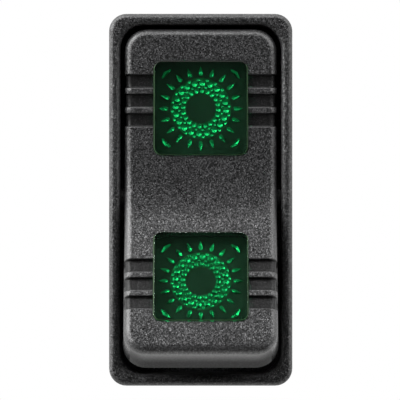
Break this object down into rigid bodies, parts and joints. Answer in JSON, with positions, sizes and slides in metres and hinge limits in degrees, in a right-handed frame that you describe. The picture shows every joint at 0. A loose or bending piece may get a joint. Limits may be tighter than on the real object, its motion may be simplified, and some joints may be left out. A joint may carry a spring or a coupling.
{
  "type": "panel rocker switch",
  "caption": "Snap-in panel rocker switch with square green jewel lenses, grip grooves, see-saw contacts inside and blade terminals at the back.",
  "frame": {"origin": "centre of the panel cut-out, on the panel's front plane, where the bezel seats", "axes": "+X across the width, +Y out of the back of the panel along the terminals, +Z along the long axis towards the upper lens; the rocker faces -Y"},
  "size_m": [0.0248, 0.0558, 0.0498],
  "materials": {
    "black_nylon": "fine moulded grain, satin",
    "rocker_nylon": "fine spark-eroded grain on the faces, smooth grooves",
    "inner_nylon": "smooth moulded",
    "base_moulding": "smooth moulded",
    "seal_rubber": "matt",
    "lens_green": "clear green, polished, prisms in the back",
    "lamp_clear": "clear dome",
    "terminal_brass": "rolled strip",
    "contact_copper": "rolled copper strip",
    "contact_silver": "silver contact faces",
    "tinned_wire": "tinned",
    "spring_steel": "drawn wire"
  },
  "bodies": {
    "housing": {"bezel_frame": "black_nylon", "panel_gasket": "seal_rubber", "terminal_base": "base_moulding", "base_seal": "seal_rubber", "lamp_upper": "lamp_clear", "lamp_lower": "lamp_clear", "lamp_leads_upper": "tinned_wire", "lamp_leads_lower": "tinned_wire", "terminal_1": "terminal_brass", "terminal_2": "terminal_brass", "terminal_3": "terminal_brass", "terminal_4": "terminal_brass", "terminal_5": "terminal_brass", "terminal_6": "terminal_brass", "terminal_7": "terminal_brass", "terminal_8": "terminal_brass", "terminal_9": "terminal_brass", "terminal_10": "terminal_brass", "fixed_contact_1": "contact_silver", "fixed_contact_3": "contact_silver", "fixed_contact_4": "contact_silver", "fixed_contact_6": "contact_silver"},
    "rocker": {"rocker_cap": "rocker_nylon", "lens_upper": "lens_green", "lens_lower": "lens_green", "plunger_carrier": "inner_nylon", "spring_left": "spring_steel", "spring_right": "spring_steel"},
    "plunger_left": {"plunger_left": "inner_nylon"},
    "contact_left": {"contact_blade_left": "contact_copper", "moving_contact_left_upper": "contact_silver", "moving_contact_left_lower": "contact_silver"},
    "plunger_right": {"plunger_right": "inner_nylon"},
    "contact_right": {"contact_blade_right": "contact_copper", "moving_contact_right_upper": "contact_silver", "moving_contact_right_lower": "contact_silver"}
  },
  "joints": [
    {"name": "rocker_pivot", "type": "hinge", "parent": "housing", "child": "rocker", "pos_m": [0, -0.0052, 0], "axis": [1, 0, 0], "range_deg": [0, 22]},
    {"name": "plunger_slide_left", "type": "slide", "parent": "rocker", "child": "plunger_left", "axis": [0, -0.9816, 0.1908], "range_m": [0, 0.001], "stiffness_N_per_m": 1500, "springref_m": -0.001, "deforming": ["spring_left"]},
    {"name": "contact_rock_left", "type": "hinge", "parent": "housing", "child": "contact_left", "pos_m": [-0.005, 0.0096, 0], "axis": [1, 0, 0], "range_deg": [-10, 0]},
    {"name": "plunger_slide_right", "type": "slide", "parent": "rocker", "child": "plunger_right", "axis": [0, -0.9816, 0.1908], "range_m": [0, 0.001], "stiffness_N_per_m": 1500, "springref_m": -0.001, "deforming": ["spring_right"]},
    {"name": "contact_rock_right", "type": "hinge", "parent": "housing", "child": "contact_right", "pos_m": [0.005, 0.0096, 0], "axis": [1, 0, 0], "range_deg": [-10, 0]}
  ],
  "couplings": [
    {"joint": "contact_rock_left", "follows": "rocker_pivot", "ratio": -0.4545},
    {"joint": "contact_rock_right", "follows": "rocker_pivot", "ratio": -0.4545}
  ]
}
